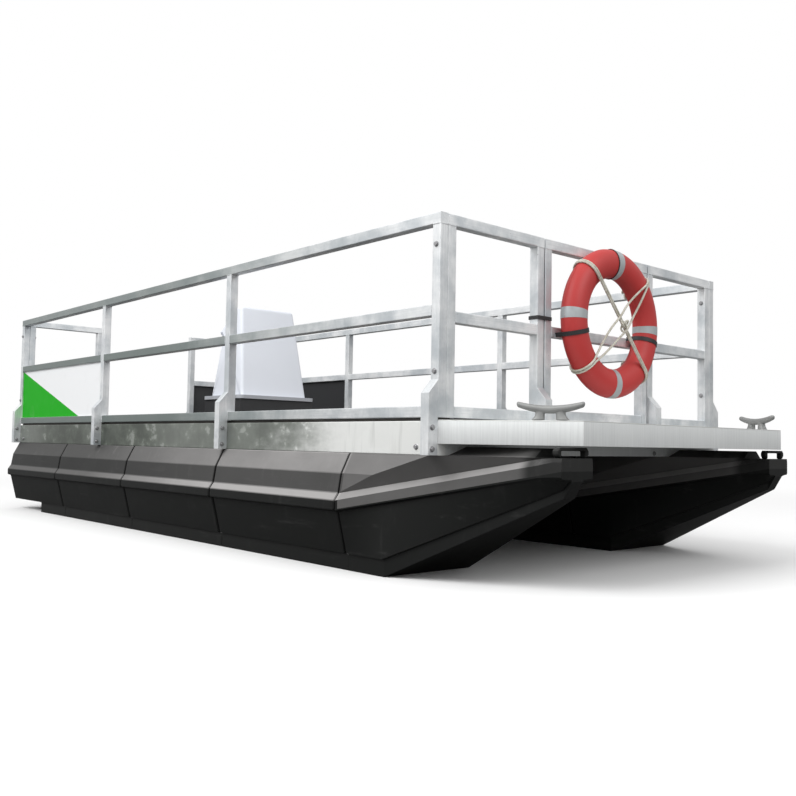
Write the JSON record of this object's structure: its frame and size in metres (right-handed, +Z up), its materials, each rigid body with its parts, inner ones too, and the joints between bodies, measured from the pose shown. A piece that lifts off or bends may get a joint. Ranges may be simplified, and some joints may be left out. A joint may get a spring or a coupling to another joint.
{
  "type": "pontoon barge",
  "caption": "Small railed work barge on twin moulded plastic floats, with an aluminium deck frame, helm console, bow platform and a hinged gate carrying a lifebuoy.",
  "frame": {"origin": "centre of the part's box at the height of the flat keel faces that it stands on", "axes": "+X forward to the bow, +Y to port, +Z up"},
  "size_m": [5.845, 2.5, 1.645],
  "materials": {
    "float_black": "moulded, satin",
    "rail_aluminium": "mill finish, lightly brushed",
    "beam_aluminium": "mill finish, smooth",
    "deck_board": "film-faced plywood with anti-slip mesh",
    "tread_aluminium": "raised tread plate",
    "board_white": "printed board, white and green outside, black inside",
    "board_black": "satin board",
    "console_white": "gel coat",
    "console_black": "textured box",
    "flange_white": "gel coat",
    "lifebuoy_red": "moulded shell",
    "rope_white": "laid rope",
    "strap_black": "matt",
    "cleat_aluminium": "cast",
    "hinge_steel": "satin"
  },
  "bodies": {
    "barge": {"float_bow_starboard": "float_black", "float_bow_port": "float_black", "float_fore_starboard": "float_black", "float_fore_port": "float_black", "float_middle_starboard": "float_black", "float_middle_port": "float_black", "float_aft_starboard": "float_black", "float_aft_port": "float_black", "float_stern_starboard": "float_black", "float_stern_port": "float_black", "bow_loops": "float_black", "side_top_rails": "rail_aluminium", "side_mid_rails": "rail_aluminium", "side_base_rails": "rail_aluminium", "side_posts": "rail_aluminium", "side_feet": "rail_aluminium", "end_stiles": "rail_aluminium", "end_rails": "rail_aluminium", "end_feet": "rail_aluminium", "side_beam_starboard": "beam_aluminium", "side_beam_port": "beam_aluminium", "front_cross_beam": "beam_aluminium", "rear_cross_beam": "beam_aluminium", "cross_members": "beam_aluminium", "platform_front_fascia": "beam_aluminium", "platform_side_fascias": "beam_aluminium", "platform_bearers": "beam_aluminium", "deck_sheets": "deck_board", "platform_tread": "tread_aluminium", "infill_starboard": "board_white", "infill_port": "board_white", "infill_rear": "board_black", "console_body": "console_white", "console_flange": "flange_white", "console_plinth": "console_black", "gate_tie": "strap_black", "cleat_starboard": "cleat_aluminium", "cleat_port": "cleat_aluminium", "hinges_fixed": "hinge_steel", "hinge_pins": "hinge_steel"},
    "gate": {"gate_stiles": "rail_aluminium", "gate_rails": "rail_aluminium", "hinges_gate": "hinge_steel", "lifebuoy": "lifebuoy_red", "lifebuoy_rope": "rope_white", "lifebuoy_straps": "strap_black"}
  },
  "joints": [
    {"name": "gate_hinge", "type": "hinge", "parent": "barge", "child": "gate", "pos_m": [2.3125, 0.446, 0.726], "axis": [0, 0, -1], "range_deg": [0, 110]}
  ]
}
